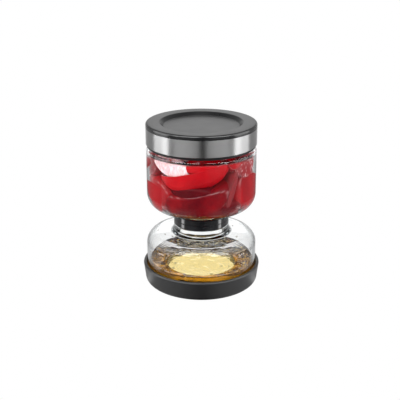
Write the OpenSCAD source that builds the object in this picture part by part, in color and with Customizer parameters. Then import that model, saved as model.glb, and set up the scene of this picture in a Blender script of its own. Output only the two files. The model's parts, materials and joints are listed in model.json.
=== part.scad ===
// Hourglass pickle keeper: a glass jar stands on a second glass jar, and a
// collar that holds a strainer joins their necks. Turned over, the brine
// runs up to the food; turned back, it drains through the strainer.
// Millimetres, +Z up, origin on the axis at the underside of the base boot.

/* [Base boot] */
// Height of the boot's wall
boot_h = 19; // [12:0.2:28]
// Thickness of the boot's wall at its rim
boot_wall = 3.3; // [2:0.1:4]
// How far the wall leans in from its rim to its foot
boot_draft = 1.6; // [0:0.1:1.6]
// Thickness of the boot's floor
boot_floor = 4.6; // [2:0.1:5]
// Radius of the window in the boot's floor
boot_window_r = 31.5; // [15:0.5:38]
// Radius of the boot's lower outer corner
boot_corner_r = 5; // [1:0.1:5]

/* [Lower jar] */
// Outer radius of the lower jar
lower_r = 50.7; // [44:0.1:60]
// Wall of the lower jar
lower_wall = 2.4; // [1.6:0.1:3.2]
// Height of the lower jar, from its foot to the step of its neck
lower_h = 51.6; // [44:0.1:90]
// Thickness of the lower jar's bottom
lower_bottom = 3.6; // [2:0.1:7]
// Outer radius of the corner between bottom and wall
lower_foot_r = 6; // [4:0.1:9]
// Outer radius of the corner between wall and shoulder
lower_shoulder_r = 10.4; // [6:0.1:14]
// Straight length of the lower jar's neck below its step
lower_neck_l = 2.8; // [1:0.1:6]

/* [Upper jar] */
// Outer radius of the upper jar
upper_r = 49.8; // [44:0.1:60]
// Wall of the upper jar
upper_wall = 2.4; // [1.6:0.1:3.2]
// Height of the upper jar, from the step of its neck to its rim
upper_h = 77.1; // [66:0.1:120]
// Outer radius of the corner between wall and bottom
upper_corner_r = 14.4; // [8:0.1:18]
// Straight length of the upper jar's neck above its step
upper_neck_l = 1.1; // [0.8:0.1:5]
// Outer radius of the shoulder under the mouth
upper_shoulder_r = 2.6; // [1:0.1:3]
// How far the mouth stands in from the jar's wall
mouth_inset = 5.2; // [4.8:0.1:8]
// Height of the mouth above the shoulder
mouth_h = 14.4; // [13.8:0.1:20]
// Wall of the mouth
mouth_wall = 2.8; // [2:0.1:3.6]

/* [Necks] */
// Outer radius of both glass necks, and of the collar between them
neck_r = 25.4; // [24:0.1:30]
// How far a stub stands in from the neck that it ends
stub_step = 2.6; // [2.4:0.1:3.6]
// Wall of the stubs
stub_wall = 2.6; // [1.8:0.1:3]
// Length of each stub, which plugs into the collar
stub_l = 4.4; // [3.6:0.1:10]
// Fillet between a neck and the glass it grows from
neck_fillet_r = 4.2; // [2:0.1:6]
// Radius of the edge where a neck opens into its jar
neck_edge_r = 1.5; // [0.5:0.1:2]
// Slope of the glass that runs towards the necks, in degrees
drain_slope = 5; // [1:0.5:8]

/* [Collar] */
// Thickness of the web between the two stubs
collar_web_t = 1.4; // [1:0.1:3]
// How far the web reaches in past the stubs, to carry the strainer
collar_web_reach = 1.8; // [1.4:0.1:3]
// Radius of the collar's outer edges
collar_edge_r = 0.7; // [0.2:0.1:1.5]
// Depth of the groove round the middle of the collar
collar_groove = 0.4; // [0.2:0.1:0.8]
// Thickness of a neck seal's ring
seal_ring_d = 1.4; // [1.1:0.1:1.5]

/* [Strainer] */
// Height of the strainer's frame
frame_h = 7; // [5:0.1:12]
// Thickness of the strainer's frame
frame_wall = 1.2; // [0.8:0.1:1.6]
// How far the plate reaches over the frame's ring
plate_overlap = 0.9; // [0.5:0.1:1.2]
// Radius of one drain hole
hole_r = 1.4; // [0.8:0.1:1.6]
// Distance between the rings of drain holes
hole_pitch = 4.1; // [4:0.1:6]
// Thickness of the perforated plate
plate_t = 0.8; // [0.5:0.1:1.5]
// Height of the lift loop above the plate
loop_h = 13; // [10:0.5:20]
// Radius of the lift loop's bend
loop_r = 6.4; // [5:0.1:8]
// Thickness of the lift loop's wire
loop_wire_d = 2; // [1.6:0.1:3]

/* [Lid] */
// Gap between the skirt and the shoulder of the jar
skirt_gap = 0.9; // [0.5:0.1:3]
// How far the skirt shows below the steel band
skirt_drop = 2.8; // [1:0.1:5]
// Thickness of the insert's web over the mouth
web_t = 2.8; // [1.5:0.1:5]
// Thickness of the steel band
band_t = 0.6; // [0.4:0.1:1]
// How far the band stands out from the jar's wall
band_proud = 0.2; // [0:0.1:3]
// Height of the cap above the band
cap_h = 3.9; // [3.6:0.1:8]
// Radius of the cap's rounded upper edge
cap_edge_r = 2; // [0.5:0.1:2.4]
// Radius of the recess in the cap
recess_r = 37.3; // [25:0.1:38]
// Depth of the recess in the cap
recess_d = 3.1; // [1:0.1:3.1]
// Width of the slope round the recess
recess_slope_w = 3.2; // [1:0.1:5]
// Radius that rounds the slope into the rim and into the floor of the recess
recess_round_r = 1.6; // [0.4:0.1:2]
// Thickness of the lid seal
lid_seal_t = 1.6; // [1:0.1:2.5]

/* [Thread] */
// Rise of the lid in one full turn
thread_lead = 10; // [9:0.5:12]
// Number of threads side by side
thread_starts = 2; // [1:1:2]
// How far a thread stands out of its wall
thread_depth = 1.1; // [0.8:0.1:1.4]
// Width of a thread at its root
thread_w = 2; // [1.6:0.1:2.2]
// Length of one thread, in turns
thread_turns = 0.5; // [0.3:0.05:0.55]

/* [Clearances] */
// Gap between round pieces that slide or turn in each other
run_gap = 0.2; // [0.1:0.05:0.3]
// Gap between flat faces that rest on each other
seat_gap = 0.1; // [0.05:0.05:0.3]
// Gap between the crests of a thread and the wall they face
thread_gap = 0.45; // [0.3:0.05:0.6]

/* [Hidden] */

$fn = 96;
wire_fn = 32;            // fineness of wires, seal rings and drain holes
arc_steps = 10;          // stretches along each rounded part of an outline
groove_gap = 0.1;        // gap round a seal ring or a plate in its groove
stub_edge = 0.4;         // chamfer at the end of a stub
mouth_fillet_r = 0.8;    // fillet between the mouth and the shoulder
mouth_edge_r = 1.2;      // edge where the jar opens into its mouth
inner_shoulder_r = 2;    // corner of the hollow under the shoulder
plate_seat_t = 0.5;      // plastic left under the plate's edge
loop_land = 0.3;         // plate left between the loop's feet and the nearest holes
seal_overhang = 0.8;     // how far the lid seal reaches in past the mouth's bore
skirt_step = 0.5;        // how far the skirt stands in under the band
lip = 0.8;               // chamfers at the foot of the lid's skirt
thread_step = 10;        // degrees between the sections of a thread
thread_root = 0.5;       // how deep a thread's root is sunk into its wall
thread_crest_share = 0.5; // width of a thread's crest, as a share of its root
thread_fade = 4;         // sections over which a thread's end fades into its wall
thread_below_rim = 1.5;  // distance from the rim to the top of the thread

// Heights, from the bottom up
lower_z = boot_floor + seat_gap;
lower_neck_z = lower_z + lower_h;
lower_stub_z = lower_neck_z + stub_l;
collar_web_z = lower_stub_z + seat_gap;
collar_seat_z = collar_web_z + collar_web_t;
upper_stub_z = collar_seat_z + seat_gap;
upper_neck_z = upper_stub_z + stub_l;
collar_z = lower_neck_z + seat_gap;
collar_top_z = upper_neck_z - seat_gap;
rim_z = upper_neck_z + upper_h;
shoulder_z = rim_z - mouth_h;
skirt_z = shoulder_z + skirt_gap;
band_z = skirt_z + skirt_drop;
web_z = rim_z + seat_gap + lid_seal_t + seat_gap;
cap_z = web_z + web_t;
top_z = cap_z + cap_h;

// Heights of the strainer, which rests on the collar's web
flange_z = collar_seat_z + seat_gap;
frame_top_z = flange_z + plate_seat_t + plate_t;
plate_z = frame_top_z - plate_t;

// Radii shared by neighbouring pieces
boot_inner_r = lower_r + run_gap;
boot_rim_r = boot_inner_r + boot_wall;
stub_r = neck_r - stub_step;
neck_bore_r = stub_r - stub_wall;
collar_bore_r = stub_r + run_gap;
collar_web_r = neck_bore_r - collar_web_reach;
seal_ring_r = collar_bore_r + seal_ring_d / 2;
flange_r = neck_bore_r - run_gap;
frame_r = collar_web_r - run_gap;
frame_bore_r = frame_r - frame_wall;
plate_r = frame_r + plate_overlap;
mouth_r = upper_r - mouth_inset;
mouth_bore_r = mouth_r - mouth_wall;
insert_bore_r = mouth_r + thread_depth + thread_gap;
band_r = upper_r + band_proud;
insert_r = band_r - band_t - seat_gap;
skirt_r = insert_r - skirt_step;

// Points on an arc round (r, z), from angle a to angle b
function arc(r, z, rad, a, b) =
    [for (k = [0:arc_steps]) let (t = a + (b - a) * k / arc_steps) [r + rad * cos(t), z + rad * sin(t)]];

function last(pts) = pts[len(pts) - 1];
function backwards(pts) = [for (k = [len(pts) - 1:-1:0]) pts[k]];
function upside_down(pts) = [for (p = pts) [p[0], -p[1]]];

// Height at radius r of a line that passes through p and rises by s degrees towards the axis
function line_z(p, s, r) = p[1] + (p[0] - r) * tan(s);

// How a jar closes in from its wall to a neck: a round corner, a slope of s degrees that would
// reach height crown_z at its highest round point, and a fillet up to the neck's radius.
function corner(wall_r, rad, crown_z, s) = arc(wall_r - rad, crown_z - rad, rad, 0, 90 - s);
function closing(wall_r, rad, crown_z, s, to_r, fillet_r) = let (
        bend = corner(wall_r, rad, crown_z, s),
        r = to_r + fillet_r)
    concat(bend, arc(r, line_z(last(bend), s, r) + fillet_r / cos(s), fillet_r, 270 - s, 180));

// Height of the crown, from the neck's step, at which that fillet ends neck_l below the step
function crown_below(neck_l, wall_r, rad) = let (bend = corner(wall_r, rad, 0, drain_slope))
    -neck_l - neck_fillet_r / cos(drain_slope) - line_z(last(bend), drain_slope, neck_r + neck_fillet_r);

lower_crown_z = lower_neck_z + crown_below(lower_neck_l, lower_r, lower_shoulder_r);
upper_crown_z = upper_neck_z - crown_below(upper_neck_l, upper_r, upper_corner_r);

module turned(pts) {
    rotate_extrude() polygon(pts);
}

module ring(r, z, d) {
    translate([0, 0, z]) rotate_extrude() translate([r, 0]) circle(d = d, $fn = wire_fn);
}

// One thread on a wall: a ridge that climbs round the axis, centred on height z and angle 0.
// It stands out of the wall where depth is positive, and into the bore where it is negative.
module ridge(wall_r, depth, z) {
    n = 2 * round(thread_turns * 180 / thread_step);
    side = sign(depth);
    root_r = wall_r - side * thread_root;
    hidden_r = wall_r - side * thread_root / 2;
    half_crest = thread_w * thread_crest_share / 2;
    function fade(k) = min(1, k / thread_fade, (n - k) / thread_fade);
    function crest_r(k) = hidden_r + fade(k) * (wall_r + depth - hidden_r);
    function section(k) = let (a = (k - n / 2) * thread_step, zk = z + thread_lead * a / 360)
        [for (q = [[root_r, -thread_w / 2], [root_r, thread_w / 2],
                   [crest_r(k), half_crest], [crest_r(k), -half_crest]])
            [q[0] * cos(a), q[0] * sin(a), zk + q[1]]];
    function side_faces(k, i) = let (a = 4 * k + i, b = 4 * k + (i + 1) % 4)
        [[a, a + 4, b], [a + 4, b + 4, b]];
    first_end = [[0, 1, 2], [0, 2, 3]];
    last_end = [for (f = first_end) [f[0] + 4 * n, f[2] + 4 * n, f[1] + 4 * n]];
    faces = concat([for (k = [0:n - 1]) for (i = [0:3]) each side_faces(k, i)], first_end, last_end);
    polyhedron([for (k = [0:n]) each section(k)], side > 0 ? faces : [for (f = faces) backwards(f)]);
}

module threads(wall_r, depth, z) {
    for (k = [0:thread_starts - 1])
        rotate([0, 0, 360 * k / thread_starts]) ridge(wall_r, depth, z);
}

// Middle of the thread on the mouth. The lid's thread engages half a pitch below it.
mouth_thread_z = rim_z - thread_below_rim - thread_w - thread_lead * thread_turns / 2;
lid_thread_z = mouth_thread_z - thread_lead / thread_starts / 2;

module base_boot() {
    rim = boot_wall / 2;
    foot_r = boot_rim_r - boot_draft;
    color([0.17, 0.17, 0.18]) turned(concat(
        [[boot_window_r, 0]],
        arc(foot_r - boot_corner_r, boot_corner_r, boot_corner_r, -90, 0),
        arc(boot_rim_r - rim, boot_h - rim, rim, 0, 180),
        arc(boot_inner_r - lower_foot_r, boot_floor + lower_foot_r, lower_foot_r, 0, -90),
        [[boot_window_r, boot_floor]]));
}

module lower_jar() {
    foot_z = lower_z + lower_foot_r;
    foot_mid_r = lower_r - lower_foot_r;
    hollow_r = lower_r - lower_wall;
    hollow_foot_r = lower_foot_r - lower_wall / 2;
    outside = concat(
        [[0, lower_z]],
        arc(foot_mid_r, foot_z, lower_foot_r, -90, 0),
        closing(lower_r, lower_shoulder_r, lower_crown_z, drain_slope, neck_r, neck_fillet_r),
        [[neck_r, lower_neck_z], [stub_r, lower_neck_z], [stub_r, lower_stub_z - stub_edge],
         [stub_r - stub_edge, lower_stub_z]]);
    inside = concat(
        [[0, lower_z + lower_bottom]],
        arc(hollow_r - hollow_foot_r, lower_z + lower_bottom + hollow_foot_r, hollow_foot_r, -90, 0),
        closing(hollow_r, lower_shoulder_r - lower_wall, lower_crown_z - lower_wall, drain_slope,
                neck_bore_r, neck_edge_r),
        [[neck_bore_r, lower_stub_z]]);
    color([0.86, 0.93, 0.94, 0.35]) turned(concat(outside, backwards(inside)));
}

module neck_collar() {
    mid_z = (collar_z + collar_top_z) / 2;
    edge = collar_edge_r;
    groove = [[neck_r, mid_z - collar_groove], [neck_r - collar_groove, mid_z],
              [neck_r, mid_z + collar_groove]];
    color([0.1, 0.1, 0.11]) difference() {
        turned(concat(
            [[collar_bore_r, collar_z]],
            arc(neck_r - edge, collar_z + edge, edge, -90, 0),
            groove,
            arc(neck_r - edge, collar_top_z - edge, edge, 0, 90),
            [[collar_bore_r, collar_top_z], [collar_bore_r, collar_seat_z], [collar_web_r, collar_seat_z],
             [collar_web_r, collar_web_z], [collar_bore_r, collar_web_z]]));
        seal_groove(lower_neck_z + stub_l / 2);
        seal_groove(upper_neck_z - stub_l / 2);
    }
}

// Room in the collar's bore for the seal ring at height z
module seal_groove(z) {
    width = seal_ring_d + 2 * groove_gap;
    translate([0, 0, z - width / 2]) cylinder(r = seal_ring_r + width / 2, h = width);
}

module lower_neck_seal() {
    color([0.32, 0.33, 0.34]) ring(seal_ring_r, lower_neck_z + stub_l / 2, seal_ring_d);
}

module upper_neck_seal() {
    color([0.32, 0.33, 0.34]) ring(seal_ring_r, upper_neck_z - stub_l / 2, seal_ring_d);
}

module strainer_frame() {
    bottom_z = frame_top_z - frame_h;
    rebate_r = plate_r + groove_gap;
    color([0.78, 0.79, 0.8]) turned([
        [frame_bore_r, bottom_z], [frame_r, bottom_z], [frame_r, flange_z], [flange_r, flange_z],
        [flange_r, frame_top_z], [rebate_r, frame_top_z], [rebate_r, plate_z], [frame_bore_r, plate_z]]);
}

module strainer_plate() {
    rings = floor((frame_bore_r - hole_r) / hole_pitch);
    holes = [for (i = [0:rings], k = [0:max(0, 6 * i - 1)])
        let (a = i > 0 ? 60 * k / i : 0) i * hole_pitch * [cos(a), sin(a)]];
    clear_of_loop = hole_r + loop_wire_d / 2 + loop_land;
    color([0.78, 0.79, 0.8]) translate([0, 0, plate_z]) difference() {
        cylinder(r = plate_r, h = plate_t);
        for (p = holes)
            if (min(norm(p - [loop_r, 0]), norm(p + [loop_r, 0])) > clear_of_loop)
                translate([p[0], p[1], -1]) cylinder(r = hole_r, h = plate_t + 2, $fn = wire_fn);
    }
}

module lift_loop() {
    bend_z = frame_top_z + loop_h - loop_r - loop_wire_d / 2;
    color([0.78, 0.79, 0.8]) union() {
        for (x = [-loop_r, loop_r])
            translate([x, 0, frame_top_z]) cylinder(d = loop_wire_d, h = bend_z - frame_top_z, $fn = wire_fn);
        translate([0, 0, bend_z]) rotate([90, 0, 0]) rotate_extrude(angle = 180)
            translate([loop_r, 0]) circle(d = loop_wire_d, $fn = wire_fn);
    }
}

module upper_jar() {
    hollow_r = upper_r - upper_wall;
    outside = concat(
        [[stub_r - stub_edge, upper_stub_z], [stub_r, upper_stub_z + stub_edge], [stub_r, upper_neck_z],
         [neck_r, upper_neck_z]],
        upside_down(backwards(closing(upper_r, upper_corner_r, -upper_crown_z, drain_slope,
                                      neck_r, neck_fillet_r))),
        closing(upper_r, upper_shoulder_r, shoulder_z, 0, mouth_r, mouth_fillet_r),
        arc(mouth_r - mouth_wall / 2, rim_z - mouth_wall / 2, mouth_wall / 2, 0, 90));
    inside = concat(
        [[neck_bore_r, upper_stub_z]],
        upside_down(backwards(closing(hollow_r, upper_corner_r - upper_wall, -upper_crown_z - upper_wall,
                                      drain_slope, neck_bore_r, neck_edge_r))),
        closing(hollow_r, inner_shoulder_r, shoulder_z - mouth_wall, 0, mouth_bore_r, mouth_edge_r),
        arc(mouth_bore_r + mouth_wall / 2, rim_z - mouth_wall / 2, mouth_wall / 2, 180, 90));
    color([0.86, 0.93, 0.94, 0.35]) union() {
        turned(concat(outside, backwards(inside)));
        threads(mouth_r, thread_depth, mouth_thread_z);
    }
}

module lid_seal() {
    r = insert_bore_r - run_gap;
    inner_r = mouth_bore_r - seal_overhang;
    color([0.3, 0.31, 0.32]) translate([0, 0, rim_z + seat_gap]) difference() {
        cylinder(r = r, h = lid_seal_t);
        translate([0, 0, -1]) cylinder(r = inner_r, h = lid_seal_t + 2);
    }
}

module lid_insert() {
    color([0.12, 0.12, 0.13]) union() {
        turned([[0, web_z], [insert_bore_r, web_z], [insert_bore_r, skirt_z + lip],
                [insert_bore_r + lip, skirt_z], [skirt_r - lip, skirt_z], [skirt_r, skirt_z + lip],
                [skirt_r, band_z], [insert_r, band_z], [insert_r, cap_z], [0, cap_z]]);
        threads(insert_bore_r, -thread_depth, lid_thread_z);
    }
}

module lid_band() {
    color([0.75, 0.76, 0.77]) turned([[band_r - band_t, band_z], [band_r - band_t / 2, band_z],
        [band_r, band_z + band_t / 2], [band_r, cap_z - seat_gap], [band_r - band_t, cap_z - seat_gap]]);
}

module lid_cap() {
    floor_z = top_z - recess_d;
    slope = atan(recess_d / recess_slope_w);
    tangent = recess_round_r * tan(slope / 2);
    floor_r = recess_r - recess_slope_w;
    color([0.16, 0.16, 0.17]) turned(concat(
        [[0, cap_z], [band_r, cap_z]],
        arc(band_r - cap_edge_r, top_z - cap_edge_r, cap_edge_r, 0, 90),
        arc(recess_r + tangent, top_z - recess_round_r, recess_round_r, 90, 90 + slope),
        arc(floor_r - tangent, floor_z + recess_round_r, recess_round_r, slope - 90, -90),
        [[0, floor_z]]));
}

base_boot();
lower_jar();
neck_collar();
lower_neck_seal();
upper_neck_seal();
strainer_frame();
strainer_plate();
lift_loop();
upper_jar();
lid_seal();
lid_insert();
lid_band();
lid_cap();
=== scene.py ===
"""Finishes, food and oil for an hourglass pickle keeper, with its floor, light and camera.

The jars, lid, collar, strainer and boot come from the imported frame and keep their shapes. This
file gives them their materials, fills the upper jar with peppers and the lower jar with oil."""

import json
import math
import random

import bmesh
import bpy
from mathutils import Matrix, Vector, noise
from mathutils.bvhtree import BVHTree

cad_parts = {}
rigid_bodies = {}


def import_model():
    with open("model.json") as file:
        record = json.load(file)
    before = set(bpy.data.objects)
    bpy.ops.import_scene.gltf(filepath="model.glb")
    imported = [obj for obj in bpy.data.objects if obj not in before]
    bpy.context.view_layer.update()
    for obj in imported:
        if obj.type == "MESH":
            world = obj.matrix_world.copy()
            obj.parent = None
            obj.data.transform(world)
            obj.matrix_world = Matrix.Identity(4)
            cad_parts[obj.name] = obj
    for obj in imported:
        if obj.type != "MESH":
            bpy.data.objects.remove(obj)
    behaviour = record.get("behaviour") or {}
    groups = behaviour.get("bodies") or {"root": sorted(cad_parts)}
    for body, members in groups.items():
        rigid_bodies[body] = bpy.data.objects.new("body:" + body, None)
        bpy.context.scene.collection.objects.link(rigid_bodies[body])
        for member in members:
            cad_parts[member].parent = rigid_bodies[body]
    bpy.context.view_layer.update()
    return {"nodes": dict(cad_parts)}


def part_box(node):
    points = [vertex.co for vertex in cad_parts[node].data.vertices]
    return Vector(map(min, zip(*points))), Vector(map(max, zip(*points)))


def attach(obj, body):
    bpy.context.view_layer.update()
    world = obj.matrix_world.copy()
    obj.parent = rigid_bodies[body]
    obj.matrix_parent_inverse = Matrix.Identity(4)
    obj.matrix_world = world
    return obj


bl_info = {
    "name": "Pickle keeper",
    "version": (1, 0, 0),
    "blender": (4, 5, 0),
    "location": "3D View > Sidebar > Keeper",
    "description": "Finishes, food and oil for an hourglass pickle keeper",
    "category": "Object",
}

for start_up in list(bpy.data.objects):
    bpy.data.objects.remove(start_up)
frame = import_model()
MM = 0.001


# ---------------------------------------------------------------- node trees

class Socket:
    """One output of a node, in plain arithmetic: each operator adds its Math node."""

    def __init__(self, tree, socket):
        self.tree = tree
        self.socket = socket

    def __getitem__(self, name):
        """Another output of the same node."""
        return Socket(self.tree, pick(self.socket.node.outputs, name))

    def math(self, operation, *values):
        """The result of a Math node on these values, of which this socket may be one."""
        return self.tree.add("Math", {"operation": operation}, dict(enumerate(values)))

    def __add__(self, other):
        return self.math("ADD", self, other)

    __radd__ = __add__

    def __mul__(self, other):
        return self.math("MULTIPLY", self, other)

    __rmul__ = __mul__

    def __sub__(self, other):
        return self.math("SUBTRACT", self, other)

    def __rsub__(self, other):
        return self.math("SUBTRACT", other, self)

    def __truediv__(self, other):
        return self.math("DIVIDE", self, other)

    def __pow__(self, other):
        return self.math("POWER", self, other)

    def __lt__(self, other):
        return self.math("LESS_THAN", self, other)

    def __gt__(self, other):
        return self.math("GREATER_THAN", self, other)

    def __abs__(self):
        return self.math("ABSOLUTE", self)

    def most(self, other):
        return self.math("MAXIMUM", self, other)

    def least(self, other):
        return self.math("MINIMUM", self, other)

    def rise(self, low, high):
        """0 below low, 1 above high, and a smooth rise between them."""
        sockets = {"Value": self, "From Min": low, "From Max": high}
        return self.tree.add("MapRange", {"interpolation_type": "SMOOTHSTEP"}, sockets)


def pick(sockets, name):
    """The socket in use that has this name, or stands at this place."""
    if isinstance(name, int):
        return sockets[name]
    return next(s for s in sockets if s.enabled and s.name == name)


class Tree:
    """The nodes of one material or world, which add() makes one by one."""

    def __init__(self, owner):
        owner.use_nodes = True
        self.nodes = owner.node_tree.nodes
        self.links = owner.node_tree.links
        self.is_world = isinstance(owner, bpy.types.World)
        self.nodes.clear()

    def add(self, kind, settings=None, sockets=None, output=0):
        """Add a node of this kind: its settings first, then the values or links of its sockets."""
        node = self.nodes.new("ShaderNode" + kind)
        for name, value in (settings or {}).items():
            setattr(node, name, value)
        for name, value in (sockets or {}).items():
            if isinstance(value, Socket):
                self.links.new(value.socket, pick(node.inputs, name))
            else:
                pick(node.inputs, name).default_value = value
        return Socket(self, pick(node.outputs, output)) if len(node.outputs) else None

    def blend(self, mask, first, second):
        """The first colour where the mask is 0, the second where it is 1."""
        sockets = {"Factor": mask, "A": first, "B": second}
        return self.add("Mix", {"data_type": "RGBA"}, sockets, "Result")

    def mark(self, name):
        """A number that the mesh holds for each of its points."""
        return self.add("Attribute", {"attribute_name": name}, output="Fac")

    def noise(self, stretch, detail=2, roughness=0.5, distortion=0):
        """Noise over the piece's own coordinates, with so many cells a metre along X, Y and Z."""
        place = self.add("TexCoord", output="Object")
        place = self.add("Mapping", sockets={"Vector": place, "Scale": stretch})
        sockets = {"Vector": place, "Scale": 1, "Detail": detail, "Roughness": roughness,
                   "Distortion": distortion}
        return self.add("TexNoise", sockets=sockets)

    def bump(self, height, depth, strength=1):
        """A normal that follows this height, in metres of depth."""
        return self.add("Bump", sockets={"Height": height, "Distance": depth, "Strength": strength})

    def skin(self, **values):
        """A Principled surface. An underscore in a name stands for a space."""
        sockets = {name.replace("_", " "): value for name, value in values.items()}
        return self.add("BsdfPrincipled", sockets=sockets)

    def finish(self, surface, volume=None):
        """Send the surface, and the volume if there is one, to the material's output."""
        sockets = {"Surface": surface}
        if volume:
            sockets["Volume"] = volume
        self.add("OutputMaterial", sockets=sockets)


def rgba(colour):
    return (*colour, 1)


def grey(value):
    return (value, value, value, 1)


def new_material(name):
    material = bpy.data.materials.new(name)
    return material, Tree(material)


def coat(node, material):
    """Give a node of the frame this material all over."""
    slots = frame["nodes"][node].data.materials
    slots.clear()
    slots.append(material)


# ---------------------------------------------------------------- sizes and colours

def colour_property(name, description, default):
    return bpy.props.FloatVectorProperty(name=name, description=description, subtype="COLOR",
                                         default=default, min=0, max=1)


def length_property(name, description, default, **limits):
    return bpy.props.FloatProperty(name=name, description=description, unit="LENGTH",
                                   default=default, **limits)


def count_property(name, description, default):
    return bpy.props.IntProperty(name=name, description=description, default=default, min=0)


def power_property(name, description, default):
    return bpy.props.FloatProperty(name=name, description=description, unit="POWER",
                                   default=default)


class KeeperFinishes(bpy.types.PropertyGroup):
    """Colours of the keeper's own pieces"""
    cap: colour_property("Cap", "Satin plastic of the lid's cap", (0.006, 0.006, 0.0065))
    insert: colour_property("Insert", "Plastic of the threaded insert", (0.008, 0.008, 0.009))
    band: colour_property("Band", "Brushed steel of the lid's band", (0.5, 0.5, 0.5))
    strainer: colour_property("Strainer", "Steel of the strainer and its loop", (0.55, 0.55, 0.56))
    collar: colour_property("Collar", "Glossy plastic of the neck collar", (0.009, 0.009, 0.0105))
    boot: colour_property("Boot", "Soft rubber of the base boot", (0.0125, 0.0125, 0.013))
    seal: colour_property("Seals", "Rubber of the seal rings", (0.06, 0.062, 0.065))
    # Painted shade: the grey that glass takes where it is seen edge-on.
    glass_edge: colour_property("Glass edge", "Glass where it is seen edge-on", (0.50, 0.54, 0.58))
    glass_tint: colour_property("Glass tint", "What thick glass lets through", (0.55, 0.75, 0.8))
    glass_murk: bpy.props.FloatProperty(name="Glass murk", default=12, min=0, max=200,
                                        description="How fast thick glass darkens, per metre")


class KeeperFood(bpy.types.PropertyGroup):
    """The peppers in the upper jar"""
    bright: colour_property("Bright skin", "Pepper skin where it is lightest", (0.46, 0.0012, 0.006))
    deep: colour_property("Deep skin", "Pepper skin where it is darkest", (0.085, 0.001, 0.004))
    flesh: colour_property("Flesh", "Inside of a halved pepper", (0.62, 0.14, 0.16))
    # The next colour is both the pale streaks of the flesh and the colour of the painted highlights and sheen on
    # the peppers.
    pith: colour_property("Pith", "Pale streaks in the flesh", (0.95, 0.72, 0.74))
    # Strength of the painted pale highlight line along each pepper's contact with the glass.
    bead: bpy.props.FloatProperty(name="Bead", description="How pale the bead of oil round a contact is",
                                  default=0.16, min=0, max=1)
    wet_overlap: length_property("Wet overlap", "How far wet food sinks into the glass", 0.05 * MM, min=0)
    # Gap to the glass at which that painted highlight line lies.
    wet_gap: length_property("Wet gap", "Gap to the glass that a bead of oil fills", 0.95 * MM,
                             min=0.05 * MM)
    lift: length_property("Lift", "Gap that the food leaves under it", 3.2 * MM, min=0)
    settle: length_property("Settle", "Softness of the flat that food presses on glass", 2 * MM,
                            min=0.1 * MM)
    clear_r: length_property("Clear radius", "Radius kept free for the strainer's lift", 21.5 * MM, min=0)
    seed: bpy.props.IntProperty(name="Seed", description="Where the peppers at the back lie", default=7)
    dents: bpy.props.IntProperty(name="Dents", description="Seed of the dents in the peppers", default=11, min=1)


class KeeperOil(bpy.types.PropertyGroup):
    """The oil in the lower jar"""
    depth: length_property("Depth", "Depth of oil over the jar's floor", 13 * MM, min=1 * MM, max=30 * MM)
    meniscus: length_property("Meniscus", "How far the oil climbs the glass", 1.2 * MM, min=0)
    ripple: length_property("Ripple", "Height of the ripples on the oil", 0.12 * MM, min=0)
    ripple_l: length_property("Ripple length", "Size of the ripples on the oil", 9 * MM, min=1 * MM)
    tint: colour_property("Tint", "What thick oil lets through", (0.942, 0.76, 0.03))
    strength: bpy.props.FloatProperty(name="Strength", default=62, min=0, max=500,
                                      description="How fast thick oil darkens, per metre")
    drops: count_property("Drops", "Drops that float round the oil's edge", 420)
    shoulder_drops: count_property("Shoulder drops", "Drops that cling to the shoulder", 90)
    flecks: count_property("Flecks", "Flecks of spice that float on the oil", 320)
    seed: bpy.props.IntProperty(name="Seed", description="Where the drops lie", default=3)


class KeeperStage(bpy.types.PropertyGroup):
    """Camera, lamps and floor"""
    lens: bpy.props.FloatProperty(name="Lens", description="Focal length in millimetres", unit="CAMERA",
                                  default=72)
    sensor: bpy.props.FloatProperty(name="Sensor", description="Sensor width in millimetres", unit="CAMERA",
                                    default=36)
    pitch: bpy.props.FloatProperty(name="Pitch", description="How far the camera looks down",
                                   default=math.radians(20.14), subtype="ANGLE")
    distance: length_property("Distance", "From the camera to the keeper's axis", 737.8 * MM)
    aim_x: length_property("Aim X", "Place across at which the camera looks", -1.23 * MM)
    aim_z: length_property("Aim height", "Height at which the camera looks", 77.76 * MM)
    side_power: power_property("Side lamps", "Power of each side lamp", 1.45)
    key_power: power_property("Key lamps", "Power of each lamp over the camera", 8.0)
    key_width: length_property("Key width", "Width of each lamp over the camera", 1.0)
    key_gap: length_property("Key gap", "Dark gap between the lamps over the camera", 0.2)
    key_gap_x: length_property("Key gap place", "Place across of that gap", 0.04)
    lamp_aim: length_property("Lamp aim", "Height at which the lamps point", 0.09)
    floor_r: length_property("Floor radius", "Radius of the pale floor", 5)


def sizes(group):
    """The scene's values of one of the groups above."""
    return getattr(bpy.context.scene, group)


# ---------------------------------------------------------------- shared shapes

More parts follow.
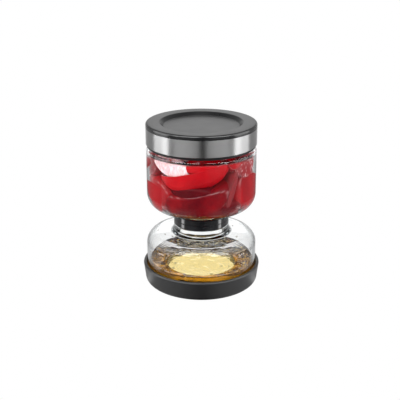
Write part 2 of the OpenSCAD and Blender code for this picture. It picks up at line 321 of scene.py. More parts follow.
class Hollow:
    """The inside of a jar, felt out on its frame mesh by rays from the axis."""

    step = 0.5 * MM
    ahead = 3       # steps that wall() looks up the glass
    turn = 0.02     # of the rays, which keeps them off the edges of the mesh
    direction = Vector((math.cos(turn), math.sin(turn), 0))

    def __init__(self, node, base, low, high):
        """base is the height from which the contents measure theirs, and the hollow is felt out
        between the heights low and high."""
        mesh = frame["nodes"][node].data
        corners = [vertex.co for vertex in mesh.vertices]
        self.skin = BVHTree.FromPolygons(corners, [face.vertices for face in mesh.polygons])
        self.base = base
        self.low = low
        count = int((high - low) / self.step) + 2
        self.walls = [self.feel(Vector((0, 0, low + k * self.step)), self.direction).xy.length
                      for k in range(count)]

    def feel(self, start, direction):
        """The first point of the glass in this direction."""
        place = self.skin.ray_cast(start, direction)[0]
        if place is None:
            raise ValueError(f"no glass in direction {tuple(direction)} from {tuple(start)}")
        return place

    def wall(self, z):
        """Radius of the wall at height z, or just above it where the glass draws in."""
        k = min(max((z - self.low) / self.step, 0), len(self.walls) - 1.001)
        before = int(k)
        here = self.walls[before] + (k - before) * (self.walls[before + 1] - self.walls[before])
        return min(here, self.walls[min(before + self.ahead, len(self.walls) - 1)])

    def floor(self, r, start_z):
        """Height of the floor at radius r, looking down from start_z."""
        start = Vector((r * self.direction.x, r * self.direction.y, start_z))
        return self.feel(start, Vector((0, 0, -1))).z


def round_axis(angle, r, z):
    """The point at this radius and height. Angle 0 faces the viewer, and angles grow to the right."""
    return r * math.sin(angle), -r * math.cos(angle), z


def soft_min(a, b, softness):
    """The smaller of two numbers, rounded off where they meet."""
    share = min(max(0.5 + 0.5 * (b - a) / softness, 0), 1)
    return b + (a - b) * share - softness * share * (1 - share)


def skin_mesh(name, rings, material, attributes=None):
    """A closed skin over rings of points. The first and last ring are single points."""
    spokes = len(rings[1])
    points = [p for ring in rings for p in ring]
    starts = [0]
    for ring in rings:
        starts.append(starts[-1] + len(ring))
    faces = []
    for k in range(spokes):
        n = (k + 1) % spokes
        faces.append((starts[0], starts[1] + n, starts[1] + k))
        faces.append((starts[-2], starts[-3] + k, starts[-3] + n))
        for j in range(1, len(rings) - 2):
            faces.append((starts[j] + k, starts[j] + n, starts[j + 1] + n, starts[j + 1] + k))
    mesh = bpy.data.meshes.new(name)
    mesh.from_pydata(points, [], faces)
    for key, values in (attributes or {}).items():
        mesh.attributes.new(key, "FLOAT", "POINT").data.foreach_set("value", values)
    return as_piece(name, mesh, material)


def as_piece(name, mesh, material):
    """An object of this mesh, smooth and in the scene, with its faces turned outwards."""
    shape = bmesh.new()
    shape.from_mesh(mesh)
    bmesh.ops.recalc_face_normals(shape, faces=shape.faces)
    shape.to_mesh(mesh)
    shape.free()
    mesh.shade_smooth()
    mesh.materials.append(material)
    piece = bpy.data.objects.new(name, mesh)
    bpy.context.scene.collection.objects.link(piece)
    return piece


def turned(name, profile, spokes, material, lift):
    """A lathed piece. Its profile runs from axis to axis; lift(x, y) raises the points marked True."""
    rings = []
    for r, z, lifted in profile:
        ring = []
        for k in range(1 if r == 0 else spokes):
            angle = math.tau * k / spokes
            x, y = r * math.cos(angle), r * math.sin(angle)
            ring.append((x, y, z + (lift(x, y) if lifted else 0)))
        rings.append(ring)
    return skin_mesh(name, rings, material)


def hoop(name, section, spokes, material):
    """A closed section, as pairs of radius and height, swept round the axis."""
    count = len(section)
    turns = [math.tau * k / spokes for k in range(spokes)]
    points = [(r * math.cos(turn), r * math.sin(turn), z) for turn in turns for r, z in section]
    faces = []
    for k in range(spokes):
        n = (k + 1) % spokes
        for j in range(count):
            m = (j + 1) % count
            faces.append((k * count + j, k * count + m, n * count + m, n * count + j))
    mesh = bpy.data.meshes.new(name)
    mesh.from_pydata(points, [], faces)
    return as_piece(name, mesh, material)


def grains(name, shape, material):
    """One piece of the many small bodies in this shape, which is used up."""
    mesh = bpy.data.meshes.new(name)
    shape.to_mesh(mesh)
    shape.free()
    return as_piece(name, mesh, material)


# ---------------------------------------------------------------- materials

def lit_through(tree, body, passed):
    """The body, which for shadows and diffuse light is a plain pane that lets so much through."""
    path = tree.add("LightPath", output="Is Shadow Ray")
    pane = tree.add("BsdfTransparent", sockets={"Color": passed})
    return tree.add("MixShader", sockets={0: path.most(path["Is Diffuse Ray"]), 1: body, 2: pane})


def depth_tint(tree, colour, strength):
    """The colour that a thick layer takes on, and how fast, per metre."""
    return tree.add("VolumeAbsorption", sockets={"Color": rgba(colour), "Density": strength})


def glass_material(name):
    """Clear glass with painted shade, greyer where it is seen edge-on, that lets the lamps through."""
    look = sizes("keeper_finishes")
    material, tree = new_material(name)
    facing = tree.add("LayerWeight", sockets={"Blend": 0.5}, output="Facing")
    # Painted shade along the glass's edges, where it is seen edge-on.
    colour = tree.blend(facing ** 5, grey(1), rgba(look.glass_edge))
    body = tree.skin(Base_Color=colour, Roughness=0, IOR=1.5, Transmission_Weight=1)
    surface = lit_through(tree, body, grey(0.96))
    tree.finish(surface, depth_tint(tree, look.glass_tint, look.glass_murk))
    return material


def oil_material(name):
    """Golden oil: deeper in colour the more of it there is."""
    look = sizes("keeper_oil")
    material, tree = new_material(name)
    body = tree.skin(Base_Color=grey(1), Roughness=0, IOR=1.47, Transmission_Weight=1)
    surface = lit_through(tree, body, (0.95, 0.85, 0.5, 1))
    tree.finish(surface, depth_tint(tree, look.tint, look.strength))
    return material


def brushed_steel(name, colour, along, across, roughness, spread):
    """Steel with fine lines. along and across are cells a metre in the lines' direction and over
    them, and spread is how far the lines stretch a highlight."""
    material, tree = new_material(name)
    lines = tree.noise((along, along, across), detail=3, roughness=0.7)
    cloud = tree.noise((90, 90, 90), detail=2)
    dark = rgba([c * 0.86 for c in colour])
    light = rgba([min(c * 1.1, 1) for c in colour])
    surface = tree.skin(Base_Color=tree.blend(lines * 0.7 + cloud * 0.3, dark, light),
                        Metallic=1, Roughness=roughness + (lines - 0.5) * 0.12,
                        Anisotropic=spread, Anisotropic_Rotation=0.25,
                        Normal=tree.bump(lines, 0.02 * MM, 0.5))
    tree.finish(surface)
    return material


def moulded(name, colour, roughness, grain, depth, gloss=0.5, cloud_share=0.12, shape=None, upright=0):
    """Moulded plastic or rubber: a grain so many cells a metre fine, and faintly cloudy colour.
    shape is a function of the tree that gives a slow rise of the surface, in metres, and upright
    is how much smoother the sides are than the top."""
    material, tree = new_material(name)
    texture = tree.noise((grain, grain, grain), detail=3, roughness=0.6)
    cloud = tree.noise((70, 70, 70), detail=3)
    dark = rgba([c * (1 - cloud_share) for c in colour])
    light = rgba([c * (1 + cloud_share) for c in colour])
    normal = tree.add("NewGeometry", output="Normal")
    level = tree.add("SeparateXYZ", sockets={"Vector": normal}, output="Z").rise(0.2, 0.9)
    surface = tree.skin(Base_Color=tree.blend(cloud, dark, light),
                        Roughness=roughness + (cloud - 0.5) * 0.1 - (1 - level) * upright,
                        Specular_IOR_Level=gloss,
                        Normal=tree.bump(texture * depth + (shape(tree) if shape else 0), 1, 1))
    tree.finish(surface)
    return material


def domed_rim(tree):
    """A slight dome on the cap's rim, which is highest in its middle."""
    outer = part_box("lid_cap")[1].x
    half = 6.4 * MM
    rise = 0.4 * MM
    place = tree.add("TexCoord", output="Object")
    flat = tree.add("VectorMath", {"operation": "MULTIPLY"}, {0: place, 1: (1, 1, 0)})
    radius = tree.add("VectorMath", {"operation": "LENGTH"}, {0: flat}, "Value")
    off = ((radius - (outer - half)) / half) ** 2
    return (1 - off.least(1)) * rise


def pepper_material(name):
    """Red pepper: mottled skin outside, pale streaked flesh inside, with painted pale highlights and painted
    sheen where its mesh marks them.
    """
    look = sizes("keeper_food")
    material, tree = new_material(name)
    broad = tree.noise((38, 38, 26), detail=2, distortion=0.6)
    fine = tree.noise((420, 420, 300), detail=3, roughness=0.6)
    streaks = tree.noise((300, 300, 110), detail=4, roughness=0.7, distortion=1.6)
    inside = tree.mark("flesh")
    # Skin brightness: the mark shade with noise. shade is the skin's own tone, and on some pieces painted shade
    # or painted light.
    brightness = tree.mark("shade") * 0.8 + (broad - 0.5) * 0.9 + (fine - 0.5) * 0.3
    skin = tree.blend(brightness, rgba(look.deep), rgba(look.bright))
    flesh = tree.blend(streaks.rise(0.34, 0.66), rgba(look.flesh), rgba(look.pith))
    mask = (inside + (streaks - 0.5) * 1.6 * (inside > 0.01)).rise(0.35, 0.6)
    dry = tree.blend(mask * (0.3 + 0.7 * inside.least(1)), skin, flesh)
    # Painted highlight and painted sheen: the palest flesh colour where the mesh marks them.
    colour = tree.blend(tree.mark("wet"), dry, rgba(look.pith))
    surface = tree.skin(Base_Color=colour,
                        Roughness=0.3 + fine * 0.15,
                        Specular_IOR_Level=0.1,
                        Subsurface_Weight=0.15, Subsurface_Scale=2 * MM,
                        Subsurface_Radius=(1, 0.15, 0.08),
                        Normal=tree.bump(fine + streaks * mask, 0.3 * MM, 0.6))
    tree.finish(surface)
    return material


def speckled(name, grain, dark, light, cover=None):
    """A dull speckled surface. cover is a function of the tree that says where there is any."""
    material, tree = new_material(name)
    patches = tree.noise((grain, grain, grain), detail=4, roughness=0.7)
    colour = tree.blend(patches.rise(0.42, 0.6), rgba(dark), rgba(light))
    alpha = cover(tree) if cover else 1
    tree.finish(tree.skin(Base_Color=colour, Roughness=0.6, Specular_IOR_Level=0.1, Alpha=alpha))
    return material


def patchy_cover(tree):
    """1 in patches of the jar's front and sides, and 0 between them and at the back."""
    place = tree.add("TexCoord", output="Object")
    depth = tree.add("SeparateXYZ", sockets={"Vector": place}, output="Y")
    patches = tree.noise((66, 66, 110), detail=3, roughness=0.6)
    return patches.rise(0.325, 0.575) * (1 - depth.rise(0, 25 * MM))


# ---------------------------------------------------------------- operators

class KEEPER_OT_jars(bpy.types.Operator):
    """Give both jars their glass"""
    bl_idname = "keeper.jars"
    bl_label = "Glass jars"

    def execute(self, context):
        coat("lower_jar", glass_material("lower_glass"))
        coat("upper_jar", glass_material("upper_glass"))
        return {"FINISHED"}


class KEEPER_OT_boot(bpy.types.Operator):
    """Give the base boot its soft rubber"""
    bl_idname = "keeper.boot"
    bl_label = "Base boot"

    def execute(self, context):
        look = sizes("keeper_finishes")
        coat("base_boot", moulded("boot_rubber", look.boot, 0.4, 2600, 0.02 * MM, gloss=0.8))
        return {"FINISHED"}


class KEEPER_OT_collar(bpy.types.Operator):
    """Give the neck collar its glossy plastic"""
    bl_idname = "keeper.collar"
    bl_label = "Neck collar"

    def execute(self, context):
        look = sizes("keeper_finishes")
        coat("neck_collar", moulded("collar_plastic", look.collar, 0.14, 900, 0.002 * MM, gloss=0.6))
        return {"FINISHED"}


class KEEPER_OT_seals(bpy.types.Operator):
    """Give the seal rings their rubber"""
    bl_idname = "keeper.seals"
    bl_label = "Seals"

    def execute(self, context):
        look = sizes("keeper_finishes")
        rubber = moulded("seal_rubber", look.seal, 0.6, 1800, 0.01 * MM, gloss=0.35)
        for node in ("lower_neck_seal", "upper_neck_seal", "lid_seal"):
            coat(node, rubber)
        return {"FINISHED"}


class KEEPER_OT_strainer(bpy.types.Operator):
    """Give the strainer's frame, plate and loop their steel"""
    bl_idname = "keeper.strainer"
    bl_label = "Strainer"

    def execute(self, context):
        look = sizes("keeper_finishes")
        steel = brushed_steel("strainer_steel", look.strainer, 500, 1500, 0.3, 0.2)
        for node in ("strainer_frame", "strainer_plate", "lift_loop"):
            coat(node, steel)
        return {"FINISHED"}


class KEEPER_OT_lid(bpy.types.Operator):
    """Give the lid's cap, insert and band their finishes"""
    bl_idname = "keeper.lid"
    bl_label = "Lid"

    def execute(self, context):
        look = sizes("keeper_finishes")
        cap = moulded("cap_plastic", look.cap, 0.32, 2200, 0.008 * MM, gloss=0.75, shape=domed_rim,
                      upright=0.17)
        coat("lid_cap", cap)
        coat("lid_insert", moulded("insert_plastic", look.insert, 0.4, 2200, 0.008 * MM, gloss=0.4))
        coat("lid_band", brushed_steel("band_steel", look.band, 12, 9000, 0.3, 0.97))
        return {"FINISHED"}


class Pepper:
    """One pepper in the upper jar, drawn as rings round its own length and pressed on the glass.

    angle is its place round the jar in degrees, from the viewer's side, and height the place of its
    middle over the neck's collar. half_w runs along the wall, half_h up, and depth in towards the
    axis, all in millimetres, as are bow, press and wall. press is how far its widest point would
    stand past the glass if the glass didn't stop it. flesh says how much of the pale flesh shows.
    shade says how bright the skin is: mostly its own tone, but on some pieces painted shade or
    painted light. veil is how much of its colour turns pale, as painted sheen, and
    bead is 0 where no painted pale highlight lines its contact with the glass."""

    rings = 36
    spokes = 72
    ribs = 3
    rib_h = 0.05        # height of the ribs, as a share of the radius
    broad = 1.4         # how close together the broad dents lie
    narrow = 4.5        # and the small ones
    narrow_h = 0.22     # height of the small dents, as a share of the broad ones'
    bead_w = 0.16       # width of the painted highlight line along the contact, as a share of the gap at which it lies

    def __init__(self, name, angle, height, half_w, half_h, depth=24, tilt=0, bow=0, press=3, knobs=0.12,
                 halved=False, wall=1.7, flesh=0, shade=0.5, veil=0, bead=1, seed=0):
        self.name = name
        self.angle = math.radians(angle)
        self.height = height * MM
        self.size = Vector((half_w, half_h, depth / 2)) * MM
        self.tilt = math.radians(tilt)
        self.bow = bow * MM
        self.press = press * MM
        self.knobs = knobs
        self.halved = halved
        self.wall = wall * MM
        self.flesh = flesh
        self.shade = shade
        self.veil = veil
        self.bead = bead
        self.offset = Vector((seed * 3.7 + 1.3, seed * 1.9 - 4.1, seed * 2.3 + 0.7))

    def profile(self):
        """Triples of radius, height and inner side, up the unit shape from its foot."""
        count = self.rings
        reach = math.pi / 2 if self.halved else math.pi
        turns = [reach * k / count for k in range(count + 1)]
        outer = [(max(math.sin(t), 0) ** 0.85, -math.cos(t), False) for t in turns]
        if not self.halved:
            outer[-1] = (0, 1, False)
            return outer
        return outer + [(r, z, True) for r, z, _ in reversed(outer)]

    def place(self, point, inner, hollow):
        """Angle, radius and height in the jar of a point of the unit shape."""
        shape = Vector(point)
        if inner:
            shape = Vector(c * (1 - self.wall / size) for c, size in zip(shape, self.size))
        swell = noise.noise_vector(shape * self.broad + self.offset)
        fine = noise.noise_vector(shape * self.narrow + self.offset)
        ridge = 1 + self.rib_h * math.cos(self.ribs * math.atan2(point[2], point[0]) + self.offset.x)
        shape = shape * ridge + swell * self.knobs + fine * (self.knobs * self.narrow_h)
        along = shape.x * self.size.x
        rise = shape.y * self.size.y + self.bow * shape.x ** 2
        middle = hollow.base + self.height
        outer = hollow.wall(middle)
        s = along * math.cos(self.tilt) - rise * math.sin(self.tilt)
        t = along * math.sin(self.tilt) + rise * math.cos(self.tilt)
        return self.angle + s / outer, outer + self.press - (1 - shape.z) * self.size.z, middle + t

    def pressed(self, r, z, hollow, food, ceiling):
        """Radius and height of a point that floor, ceiling, glass and the strainer's bore have stopped."""
        z = -soft_min(-z, -(hollow.low + food.lift), food.settle)
        z = soft_min(z, ceiling, food.settle)
        r = soft_min(r, hollow.wall(z) + food.wet_overlap, food.settle)
        return -soft_min(-r, -food.clear_r, food.settle), z

    def wetness(self, gap, food):
        """How much painted pale highlight a point gets that stands so far off the glass: a thin painted line at
        one gap from it, and the piece's painted sheen all over.
        """
        off = (gap - food.wet_gap) / (self.bead_w * food.wet_gap)
        return max(self.bead * food.bead * math.exp(-off ** 2), self.veil)

    def build(self, hollow, food, ceiling, material):
        """The pepper as a piece of the scene."""
        rings = []
        # The marks: pale flesh, painted highlight and sheen, and skin brightness.
        marks = {"flesh": [], "wet": [], "shade": []}
        for radius, up, inner in self.profile():
            ring = []
            for k in range(self.spokes if radius else 1):
                turn = math.tau * k / self.spokes
                point = (radius * math.cos(turn), up, radius * math.sin(turn))
                angle, r, z = self.place(point, inner, hollow)
                r, z = self.pressed(r, z, hollow, food, ceiling)
                ring.append(round_axis(angle, r, z))
                gap = hollow.wall(z) + food.wet_overlap - r
                marks["flesh"].append(1.0 if inner else self.flesh)
                marks["wet"].append(self.wetness(gap, food))
                marks["shade"].append(self.shade)
            rings.append(ring)
        return skin_mesh(self.name, rings, material, marks)


class KEEPER_OT_peppers(bpy.types.Operator):
    """Fill the upper jar with peppers, pressed to the glass"""
    bl_idname = "keeper.peppers"
    bl_label = "Peppers"

    # The peppers that face the viewer, each where the photograph shows it
    front = (
        dict(name="pepper_boat", angle=-9, height=52, half_w=41, half_h=19, depth=30, tilt=14, bow=2,
             halved=True, knobs=0.06, shade=1.15, bead=0, seed=1),
        dict(name="pepper_bottom", angle=-10, height=19, half_w=48, half_h=14, depth=30, bow=18, tilt=6,
             press=4, knobs=0.04, shade=0.3, seed=2),
        dict(name="pepper_foot", angle=20, height=14, half_w=34, half_h=12, depth=28, bow=8, press=4,
             knobs=0.07, shade=0.2, bead=0, seed=9),
        # Painted shadow: the darkest skin, for the shade in the crease under the boat.
        dict(name="pepper_hollow", angle=-8, height=31, half_w=34, half_h=10, depth=24, press=-1,
             shade=-1, bead=0, seed=10),
        dict(name="pepper_right", angle=68, height=29, half_w=27, half_h=21, depth=28, tilt=-6, press=5,
             knobs=0.08, shade=0.7, seed=3),
        # Painted highlight: this narrow piece's pale edge and sheen paint the pale streak between the bottom and
        # right peppers.
        dict(name="pepper_streak", angle=34, height=33, half_w=4, half_h=21, depth=20, tilt=-19,
             press=3.2, veil=0.03, shade=0.3, bead=0.5, seed=5),
        dict(name="pepper_left", angle=-66, height=27, half_w=32, half_h=16, depth=26, tilt=-9, press=4,
             knobs=0.08, shade=0.6, seed=4),
        dict(name="pepper_upper_left", angle=-76, height=52, half_w=20, half_h=14, depth=24, tilt=10,
             flesh=0.16, shade=0.3, seed=6),
        # Painted sheen: a pale glare over most of this piece, on top of its pale flesh.
        dict(name="pepper_pale", angle=-38, height=56, half_w=28, half_h=11, depth=18, tilt=-10,
             press=1.5, flesh=1.3, veil=0.4, seed=12),
        dict(name="pepper_upper_right", angle=56, height=53, half_w=17, half_h=14, depth=22, tilt=-12,
             press=3.5, flesh=0.3, shade=0.6, veil=0.02, seed=7),
        dict(name="pepper_knob", angle=40, height=58, half_w=9, half_h=6, depth=16, press=3,
             shade=0.9, seed=13),
        # Painted light: the brightest skin, to lift a piece that lies in shade.
        dict(name="pepper_upper", angle=6, height=57, half_w=26, half_h=9, depth=22, press=1,
             shade=1.3, bead=0, seed=8),
    )
    # The rows at the sides and the back, and one right round under the lid, each with its name,
    # height, half-height, angles and half-width
    rows = (
        ("low", 20, 15, (112, 160, 205, 250), 32),
        ("mid", 35, 14, (118, 165, 210, 255), 30),
        ("top", 52, 12, (100, 135, 170, 205, 240, 270), 22),
        ("lid", 63.5, 6, range(0, 360, 45), 20),
    )
    first_seed = 20     # of the peppers in rows; those in front have lower ones
    headroom = 10 * MM

    def execute(self, context):
        food = sizes("keeper_food")
        noise.seed_set(food.dents)
        hollow = upper_hollow()
        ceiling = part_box("upper_jar")[1].z - self.headroom
        material = pepper_material("pepper_skin")
        peppers = [Pepper(**kind) for kind in self.front]
        peppers += self.around(food.seed)
        for pepper in peppers:
            piece = pepper.build(hollow, food, ceiling, material)
            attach(piece, "upper_jar")
        return {"FINISHED"}

    def around(self, seed):
        """The peppers in rows, each drawn a little off its row's values."""
        draw = random.Random(seed)
        made = []
        for row, height, half_h, angles, half_w in self.rows:
            for k, angle in enumerate(angles):
                made.append(Pepper(name=f"pepper_{row}_{k}",
                                   angle=angle + draw.uniform(-4, 4),
                                   height=height + draw.uniform(-2, 2),
                                   half_w=half_w * draw.uniform(0.85, 1),
                                   half_h=half_h * draw.uniform(0.9, 1.1),
                                   tilt=draw.uniform(-18, 18),
                                   bow=draw.uniform(-3, 3),
                                   flesh=draw.uniform(0, 0.4),
                                   shade=draw.uniform(0.2, 0.9),
                                   seed=self.first_seed + len(made)))
        return made


def upper_hollow():
    """The upper jar's hollow, from its floor up into its mouth. It is measured from the collar's top."""
    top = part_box("upper_jar")[1].z
    neck_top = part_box("neck_collar")[1].z
    floor = 7.6 * MM
    below_rim = 8 * MM
    return Hollow("upper_jar", neck_top, neck_top + floor, top - below_rim)


def lower_hollow():
    """The lower jar's hollow, from its floor up to its shoulder. It is measured from the jar's foot."""
    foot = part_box("lower_jar")[0].z
    bottom = 3.62 * MM
    shoulder = 40 * MM
    return Hollow("lower_jar", foot, foot + bottom, foot + shoulder)


class KEEPER_OT_oil(bpy.types.Operator):
    """Pour the oil into the lower jar, with its drops and flecks, and dark specks with painted amber light on
    its bottom
    """
    bl_idname = "keeper.oil"
    bl_label = "Oil"

    overlap = 0.08 * MM     # how far the oil sinks into the glass that it wets
    spokes = 160
    wall_step = 0.4 * MM    # between the rings up the wall
    ring_gap = 1.5 * MM     # between the rings across the top
    rim_gap = 0.3 * MM      # the same, near the wall
    rim_w = 5 * MM
    climb_w = 1.6 * MM      # how far from the wall the oil's climb dies away
    calm_w = 3 * MM         # width of the rim that doesn't ripple
    fleck_colours = (0.10, 0.05, 0.004), (0.72, 0.55, 0.16)
    # Dark specks, and an amber that paints light seen through the oil.
    dreg_colours = (0.16, 0.10, 0.006), (0.75, 0.55, 0.06)

    def execute(self, context):
        look = sizes("keeper_oil")
        hollow = lower_hollow()
        surface = hollow.low + look.depth
        clear = oil_material("oil")
        pieces = [(self.pool(hollow, surface, look, clear), "lower_jar"),
                  (self.drops(hollow, surface, look, clear), "lower_jar"),
                  (self.dregs(hollow), "lower_jar"),
                  (self.flecks(hollow, surface, look), "lower_jar"),
                  (self.film(clear), "upper_jar")]
        for piece, body in pieces:
            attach(piece, body)
        return {"FINISHED"}

    def pool(self, hollow, surface, look, material):
        """The oil itself, a little sunk into the glass that it wets."""
        edge = surface + look.meniscus
        steps = int((edge - hollow.low) / self.wall_step)
        heights = [hollow.low + k * self.wall_step for k in range(steps)]
        wall = [(hollow.wall(z) + self.overlap, z, False) for z in heights]
        flat = [(k * self.ring_gap, hollow.low - self.overlap, False)
                for k in range(int(wall[0][0] / self.ring_gap))]
        reach = hollow.wall(edge)
        top = [(reach + self.overlap, edge, False)]
        r = reach
        while r > self.ring_gap:
            climb = look.meniscus * math.exp(-(reach - r) / self.climb_w)
            top.append((r, surface + climb, reach - r > self.calm_w))
            r -= self.ring_gap if reach - r > self.rim_w else self.rim_gap
        top.append((0, surface, True))
        return turned("oil_pool", flat + wall + top, self.spokes, material, self.ripples)

    def ripples(self, x, y):
        """Height of the ripples at this place on the oil."""
        look = sizes("keeper_oil")
        place = Vector((x, y, 0)) / look.ripple_l
        return look.ripple * (noise.noise(place) + 0.5 * noise.noise(place * 2.3))

    def drops(self, hollow, surface, look, material):
        """Lens-shaped drops: most float where the oil meets the glass, some cling to the shoulder.

        Angles are drawn in degrees from the viewer's side."""
        draw = random.Random(look.seed)
        shape = bmesh.new()
        usual, least, most = 0.6 * MM, 0.3 * MM, 2.2 * MM
        for _ in range(look.drops):
            side = draw.choice((-1, 1))
            angle = math.radians(side * draw.gauss(100, 32))
            size = min(draw.expovariate(1 / usual) + least, most)
            r = hollow.wall(surface) - abs(draw.gauss(0, 7 * MM)) - size
            self.drop(shape, angle, r, surface, size, 0.7)
        for _ in range(look.shoulder_drops):
            angle = math.radians(draw.gauss(0, 32))
            r = draw.uniform(28, 41) * MM
            size = draw.uniform(0.25, 1.0) * MM
            under = Vector(round_axis(angle, r, surface + 5 * MM))
            shoulder = hollow.feel(under, Vector((0, 0, 1))).z
            self.drop(shape, angle, r, shoulder - 0.3 * size, size, 0.6)
        return grains("oil_drops", shape, material)

    def drop(self, shape, angle, r, z, size, flat):
        """Add a drop of this half-width, whose height is the share flat of it."""
        place = Matrix.Translation(round_axis(angle, r, z)) @ Matrix.Rotation(angle, 4, "Z")
        place = place @ Matrix.Diagonal((size * 1.3, size, size * flat, 1))
        bmesh.ops.create_icosphere(shape, subdivisions=2, radius=1, matrix=place)

    def flecks(self, hollow, surface, look):
        """Flecks of spice that float near the glass, drawn in the same way."""
        draw = random.Random(look.seed + 1)
        shape = bmesh.new()
        for _ in range(look.flecks):
            left, right, rear = draw.gauss(-88, 26), draw.gauss(88, 26), draw.gauss(180, 50)
            angle = math.radians(draw.choice((left, right, rear)))
            r = hollow.wall(surface) - abs(draw.gauss(0, 8 * MM)) - 1.2 * MM
            size = draw.uniform(0.3, 0.95) * MM
            z = surface + draw.uniform(-1.2, 0.2) * MM
            place = Matrix.Translation(round_axis(angle, r, z))
            place = place @ Matrix.Rotation(draw.uniform(0, math.tau), 4, "Z")
            place = place @ Matrix.Diagonal((size * 1.5, size, size * 0.45, 1))
            corners = bmesh.ops.create_icosphere(shape, subdivisions=1, radius=1, matrix=place)["verts"]
            for corner in corners:
                corner.co += Vector([draw.uniform(-0.25, 0.25) * size for _ in range(3)])
        return grains("oil_flecks", shape, speckled("oil_flecks", 260, *self.fleck_colours))

    def dregs(self, hollow):
        """Dark specks and painted amber light on the jar's bottom, round the window of the boot. The amber
        stands in for light seen through the oil.
        """
        start = hollow.low + 8 * MM
        window_r, up_wall, off_wall = 32.2 * MM, 3.4 * MM, 0.3 * MM
        inner, outer = window_r, hollow.wall(hollow.low + up_wall) - off_wall
        sunk, depth = 0.03 * MM, 0.35 * MM
        count = 14
        radii = [inner + (outer - inner) * k / count for k in range(count + 1)]
        under = [(r, hollow.floor(r, start) - sunk) for r in radii]
        over = [(r, hollow.floor(r, start) + depth * math.sin(math.pi * (k + 0.5) / (count + 1)))
                for k, r in enumerate(radii)]
        material = speckled("oil_dregs", 110, *self.dreg_colours, cover=patchy_cover)
        return hoop("oil_dregs", under + over[::-1], self.spokes, material)

    def film(self, material):
        """The thin pool of oil round the neck, on the floor of the upper jar."""
        hollow = upper_hollow()
        start = hollow.low + 20 * MM
        from_frame, depth, step = 0.9 * MM, 0.75 * MM, 0.25 * MM
        bevel_w, bevel_h = 0.3 * MM, 0.2 * MM
        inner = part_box("strainer_frame")[1].x + from_frame
        level = hollow.floor(inner, start) + depth
        outer = inner
        while hollow.floor(outer, start) < level:
            outer += step
        section = [(inner, hollow.floor(inner, start) - self.overlap), (outer, level - self.overlap),
                   (outer, level), (inner + bevel_w, level), (inner, level - bevel_h)]
        return hoop("oil_film", section, self.spokes, material)


class KEEPER_OT_stage(bpy.types.Operator):
    """Lay the floor, set the room's light and place the camera"""
    bl_idname = "keeper.stage"
    bl_label = "Stage"

    # Places and sizes of the lamps, in metres
    side_place = 0.5, -0.03, 0.26
    side_size = 0.4, 0.55
    key_back, key_up = -0.62, 0.72
    key_depth = 0.42

    def execute(self, context):
        stage = sizes("keeper_stage")
        self.camera(context, stage)
        self.floor(stage)
        self.room(context)
        across, back, up = self.side_place
        for name, side in (("side_lamp_left", -1), ("side_lamp_right", 1)):
            self.lamp(name, Vector((side * across, back, up)), self.side_size, stage.side_power,
                      Vector((0, 0, stage.lamp_aim)))
        for name, side in (("key_lamp_left", -1), ("key_lamp_right", 1)):
            across = stage.key_gap_x + side * (stage.key_gap + stage.key_width) / 2
            self.lamp(name, Vector((across, self.key_back, self.key_up)),
                      (stage.key_width, self.key_depth), stage.key_power,
                      Vector((across, 0, stage.lamp_aim)))
        return {"FINISHED"}

    def camera(self, context, stage):
        """The camera, which looks down at the keeper's middle from the front."""
        data = bpy.data.cameras.new("camera")
        data.lens = stage.lens
        data.sensor_width = stage.sensor
        camera = bpy.data.objects.new("camera", data)
        back = Vector((0, -math.cos(stage.pitch), math.sin(stage.pitch)))
        camera.location = Vector((stage.aim_x, 0, stage.aim_z)) + back * stage.distance
        camera.rotation_euler = (math.pi / 2 - stage.pitch, 0, 0)
        context.scene.collection.objects.link(camera)
        context.scene.camera = camera

    def lamp(self, name, place, size, power, aim):
        """A soft panel that points at the aim and shows only in what it lights and what mirrors it."""
        data = bpy.data.lights.new(name, "AREA")
        data.shape = "RECTANGLE"
        data.size, data.size_y = size
        data.energy = power
        lamp = bpy.data.objects.new(name, data)
        lamp.location = place
        lamp.rotation_euler = (aim - place).to_track_quat("-Z", "Y").to_euler()
        lamp.visible_camera = False
        lamp.visible_transmission = False
        bpy.context.scene.collection.objects.link(lamp)

    def floor(self, stage):
        """The floor, white to the camera. Pieces mirror the studio in it, and it is matt to all else."""
        material, tree = new_material("floor")
        seen, mirrored = sight(tree)
        strength = seen + mirrored * room_light(tree)
        glow = tree.add("Emission", sockets={"Color": grey(1), "Strength": strength})
        matt = tree.add("BsdfDiffuse", sockets={"Color": grey(0.8)})
        tree.finish(tree.add("MixShader", sockets={0: seen.least(1) + mirrored, 1: matt, 2: glow}))
        mesh = bpy.data.meshes.new("floor")
        count = 64
        turns = [math.tau * k / count for k in range(count)]
        corners = [(math.cos(turn) * stage.floor_r, math.sin(turn) * stage.floor_r, 0) for turn in turns]
        mesh.from_pydata(corners, [], [tuple(range(count))])
        floor = as_piece("floor", mesh, material)

    def room(self, context):
        """White wherever the camera looks, also through glass. What pieces mirror is the studio."""
        world = bpy.data.worlds.new("room")
        context.scene.world = world
        tree = Tree(world)
        seen, _ = sight(tree)
        strength = seen + (1 - seen.least(1)) * room_light(tree)
        light = tree.add("Background", sockets={"Color": grey(1), "Strength": strength})
        tree.add("OutputWorld", sockets={"Surface": light})


def sight(tree):
    """How white the camera sees the surroundings, a little more so through glass, to make up for
    what the glass turns away; and 1 where a piece mirrors them."""
    path = tree.add("LightPath", output="Glossy Depth")
    straight = (path < 0.5) * (path["Diffuse Depth"] < 0.5)
    mirrored = (path > 0.5) * (path["Diffuse Depth"] < 0.5)
    through = path["Transmission Depth"] > 0.5
    return straight * (1 + 0.12 * through), mirrored


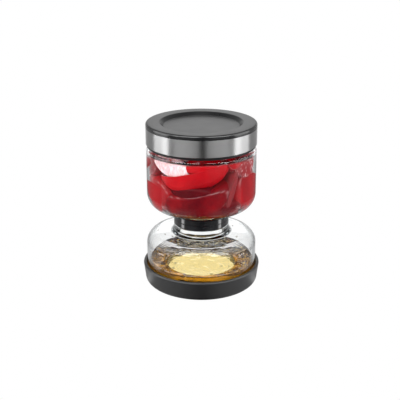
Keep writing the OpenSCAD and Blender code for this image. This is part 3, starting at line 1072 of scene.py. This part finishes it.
def room_light(tree):
    """Brightness of the studio where a piece mirrors it, outside the glass and within."""
    place = tree.add("TexCoord", output="Generated" if tree.is_world else "Object")
    way = tree.add("VectorMath", {"operation": "NORMALIZE"}, {0: place}, "Vector")
    way = tree.add("SeparateXYZ", sockets={"Vector": way})
    reach = tree.add("VectorMath", {"operation": "LENGTH"}, {0: place}, "Value")
    crossings = tree.add("LightPath", output="Transmission Depth")
    inside = crossings > 0.5
    return outer_light(way, reach) * (1 - inside) + inner_light(way, crossings) * inside


def outer_light(way, reach):
    """The studio: dim in front with a dark gap, grey at the sides with a pale panel on each, and
    with a pale wall at the back and a bright ceiling.

    The sides of the keeper mirror the floor, each piece at its own reach from the axis: the boot
    the nearest part, then the collar, the upper jar and the lid's band. So each has light of its
    own. The ceiling is darker to the sides. Brightness is 1 for white, and directions are parts of
    a unit length along X, Y and Z."""
    across, back, up = abs(way["X"]), way["Y"], way["Z"].rise(0.1, 0.5)
    boot = 1 - reach.rise(0.12, 0.2)
    collar = reach.rise(0.14, 0.15) * (1 - reach.rise(0.2, 0.21))
    jar = reach.rise(0.22, 0.26) * (1 - reach.rise(0.38, 0.42))
    band = reach.rise(0.39, 0.43)
    front = (1 - back.rise(-0.8, -0.4)) * band * 0.08
    sides = across.rise(0.02, 0.6) * (0.2 + 0.15 * boot) + back.rise(-0.6, 0.1) * 0.18
    panels = back.rise(-0.36, -0.26) * (1 - back.rise(-0.14, -0.04)) * (0.6 + 5 * collar)
    wall = back.rise(0.84, 0.93) * 0.5
    low = (0.02 + boot * 0.03 + front + sides + panels + wall) * (1 - 0.55 * jar)
    ceiling = (0.4 + back.rise(0, 0.8) * 0.95) * (1 - 0.75 * across.rise(0.04, 0.26))
    gap_place = 0.04
    azimuth = way["X"] / abs(back).most(0.001)
    gap = (1 - abs(azimuth - gap_place).rise(0.06, 0.12)) * (back < 0)
    return (low * (1 - up) + ceiling * up) * (1 - gap)


def inner_light(way, crossings):
    """What the inside of the glass and the oil mirror: a wall at the back that ends at a dark ledge,
    under a bright ceiling. Light that has crossed many surfaces comes through the oil itself and
    meets no ledge."""
    back, up = way["Y"], way["Z"]
    wall = back.rise(0.1, 0.6) * 0.5 + back.rise(0.8, 0.9) * up.rise(0.2, 0.3) * 1.4
    ledge = up.rise(0.39, 0.404) * (crossings < 4.5) * 0.98
    return 0.025 + wall * (1 - ledge) + up.rise(0.5, 0.7)


class KEEPER_PT_sidebar(bpy.types.Panel):
    """Lists the keeper's operators"""
    bl_label = "Pickle keeper"
    bl_idname = "KEEPER_PT_sidebar"
    bl_space_type = "VIEW_3D"
    bl_region_type = "UI"
    bl_category = "Keeper"

    def draw(self, context):
        for operator in OPERATORS:
            self.layout.operator(operator.bl_idname)


GROUPS = {"keeper_finishes": KeeperFinishes, "keeper_food": KeeperFood, "keeper_oil": KeeperOil,
          "keeper_stage": KeeperStage}
OPERATORS = (KEEPER_OT_stage, KEEPER_OT_jars, KEEPER_OT_boot, KEEPER_OT_collar, KEEPER_OT_seals,
             KEEPER_OT_strainer, KEEPER_OT_lid, KEEPER_OT_peppers, KEEPER_OT_oil)


def register():
    for name, group in GROUPS.items():
        bpy.utils.register_class(group)
        setattr(bpy.types.Scene, name, bpy.props.PointerProperty(type=group))
    for kind in (*OPERATORS, KEEPER_PT_sidebar):
        bpy.utils.register_class(kind)


def unregister():
    for kind in (KEEPER_PT_sidebar, *reversed(OPERATORS)):
        bpy.utils.unregister_class(kind)
    for name, group in reversed(GROUPS.items()):
        delattr(bpy.types.Scene, name)
        bpy.utils.unregister_class(group)


def main():
    register()
    bpy.context.scene.view_settings.view_transform = "Standard"
    for operator in OPERATORS:
        package, name = operator.bl_idname.split(".")
        getattr(getattr(bpy.ops, package), name)()


if __name__ == "__main__":
    main()
